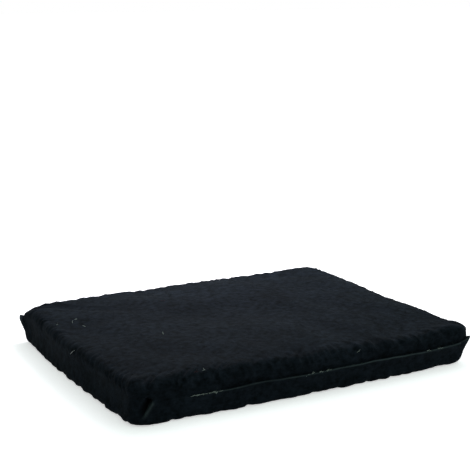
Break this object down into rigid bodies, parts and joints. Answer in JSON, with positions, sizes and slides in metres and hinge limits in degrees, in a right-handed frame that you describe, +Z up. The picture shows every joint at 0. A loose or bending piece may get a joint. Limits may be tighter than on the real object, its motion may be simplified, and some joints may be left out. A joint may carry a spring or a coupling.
{
  "type": "cooker hood carbon filter",
  "caption": "Flat pad of activated carbon in a sleeve of black needle felt, with lapped seams along its long sides and pointed ears at their ends.",
  "frame": {"origin": "on the underside, at the middle of the pad's bounding box", "axes": "+Z up through the thickness, +X along the long side, -Y towards the front with the lapped seam and the tuck"},
  "size_m": [0.2524, 0.2028, 0.03],
  "materials": {
    "felt": "matt black needle felt"
  },
  "bodies": {
    "root": {"filter_pad": "felt"}
  },
  "joints": []
}
